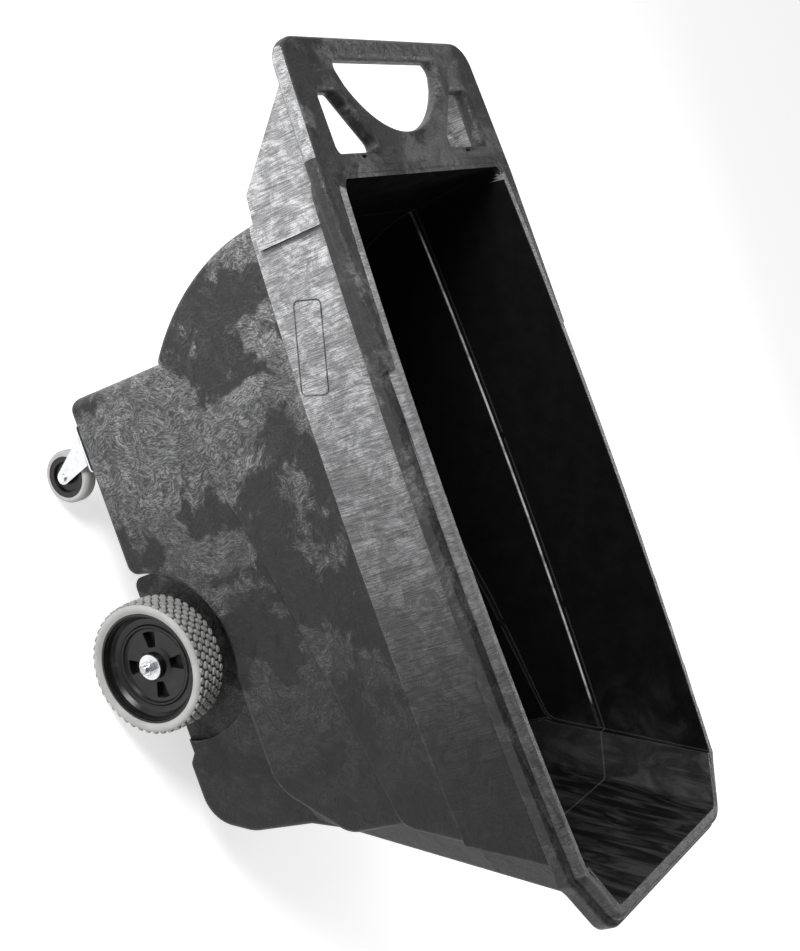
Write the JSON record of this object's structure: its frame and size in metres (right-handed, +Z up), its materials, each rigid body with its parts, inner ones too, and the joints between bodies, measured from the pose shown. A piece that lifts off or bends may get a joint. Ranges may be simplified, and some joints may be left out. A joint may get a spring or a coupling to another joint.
{
  "type": "tilt cart",
  "caption": "Moulded plastic tilt cart: a deep tub with a moulded handle frame, large wheels on a fixed axle, and swivel casters under the heel; tips forward on its foot to pour.",
  "frame": {"origin": "on the floor, under the middle of the cart's overall length and width, wheels down", "axes": "+X from the handle to the dumping lip, +Y to the left, +Z up"},
  "size_m": [1.6, 0.7238, 0.847],
  "materials": {
    "tub_plastic": "swirled moulded polyethylene, satin",
    "grey_tyre": "matte grey rubber",
    "caster_rubber": "smooth grey rubber",
    "black_hub": "glossy black plastic",
    "bush_plastic": "natural nylon",
    "axle_steel": "cold drawn steel",
    "clamp_plastic": "black moulded nylon",
    "zinc_steel": "bright zinc plate"
  },
  "bodies": {
    "cart": {"axle_clamp_left": "clamp_plastic", "axle_clamp_right": "clamp_plastic", "axle_nut_left": "zinc_steel", "axle_nut_right": "zinc_steel", "axle_spacer_left": "axle_steel", "axle_spacer_right": "axle_steel", "axle_washer_inner_left": "zinc_steel", "axle_washer_inner_right": "zinc_steel", "axle_washer_outer_left": "zinc_steel", "axle_washer_outer_right": "zinc_steel", "caster_bolts_left": "zinc_steel", "caster_bolts_right": "zinc_steel", "caster_kingpin_left": "zinc_steel", "caster_kingpin_right": "zinc_steel", "caster_nuts_left": "zinc_steel", "caster_nuts_right": "zinc_steel", "caster_plate_left": "zinc_steel", "caster_plate_right": "zinc_steel", "caster_washers_left": "zinc_steel", "caster_washers_right": "zinc_steel", "clamp_screws": "zinc_steel", "handle_frame": "tub_plastic", "main_axle": "axle_steel", "tub_arches": "tub_plastic", "tub_heel": "tub_plastic", "tub_nose": "tub_plastic", "tub_upper": "tub_plastic"},
    "wheel_left": {"wheel_bush_inner_left": "bush_plastic", "wheel_bush_outer_left": "bush_plastic", "wheel_hub_left": "black_hub", "wheel_tyre_left": "grey_tyre"},
    "caster_fork_left": {"caster_axle_bolt_left": "zinc_steel", "caster_axle_nut_left": "zinc_steel", "caster_balls_left": "zinc_steel", "caster_fork_left": "zinc_steel"},
    "caster_wheel_left": {"caster_bush_left": "bush_plastic", "caster_hub_left": "black_hub", "caster_tyre_left": "caster_rubber"},
    "wheel_right": {"wheel_bush_inner_right": "bush_plastic", "wheel_bush_outer_right": "bush_plastic", "wheel_hub_right": "black_hub", "wheel_tyre_right": "grey_tyre"},
    "caster_fork_right": {"caster_axle_bolt_right": "zinc_steel", "caster_axle_nut_right": "zinc_steel", "caster_balls_right": "zinc_steel", "caster_fork_right": "zinc_steel"},
    "caster_wheel_right": {"caster_bush_right": "bush_plastic", "caster_hub_right": "black_hub", "caster_tyre_right": "caster_rubber"}
  },
  "joints": [
    {"name": "wheel_left_spin", "type": "hinge", "parent": "cart", "child": "wheel_left", "pos_m": [0.134, 0.3095, 0.127], "axis": [0, 1, 0], "continuous": true},
    {"name": "caster_left_swivel", "type": "hinge", "parent": "cart", "child": "caster_fork_left", "pos_m": [-0.29, 0.271, 0.115], "axis": [0, 0, 1], "continuous": true},
    {"name": "caster_left_spin", "type": "hinge", "parent": "caster_fork_left", "child": "caster_wheel_left", "pos_m": [-0.255, 0.271, 0.051], "axis": [0, 1, 0], "continuous": true},
    {"name": "wheel_right_spin", "type": "hinge", "parent": "cart", "child": "wheel_right", "pos_m": [0.134, -0.3095, 0.127], "axis": [0, 1, 0], "continuous": true},
    {"name": "caster_right_swivel", "type": "hinge", "parent": "cart", "child": "caster_fork_right", "pos_m": [-0.29, -0.271, 0.115], "axis": [0, 0, 1], "continuous": true},
    {"name": "caster_right_spin", "type": "hinge", "parent": "caster_fork_right", "child": "caster_wheel_right", "pos_m": [-0.255, -0.271, 0.051], "axis": [0, 1, 0], "continuous": true}
  ]
}
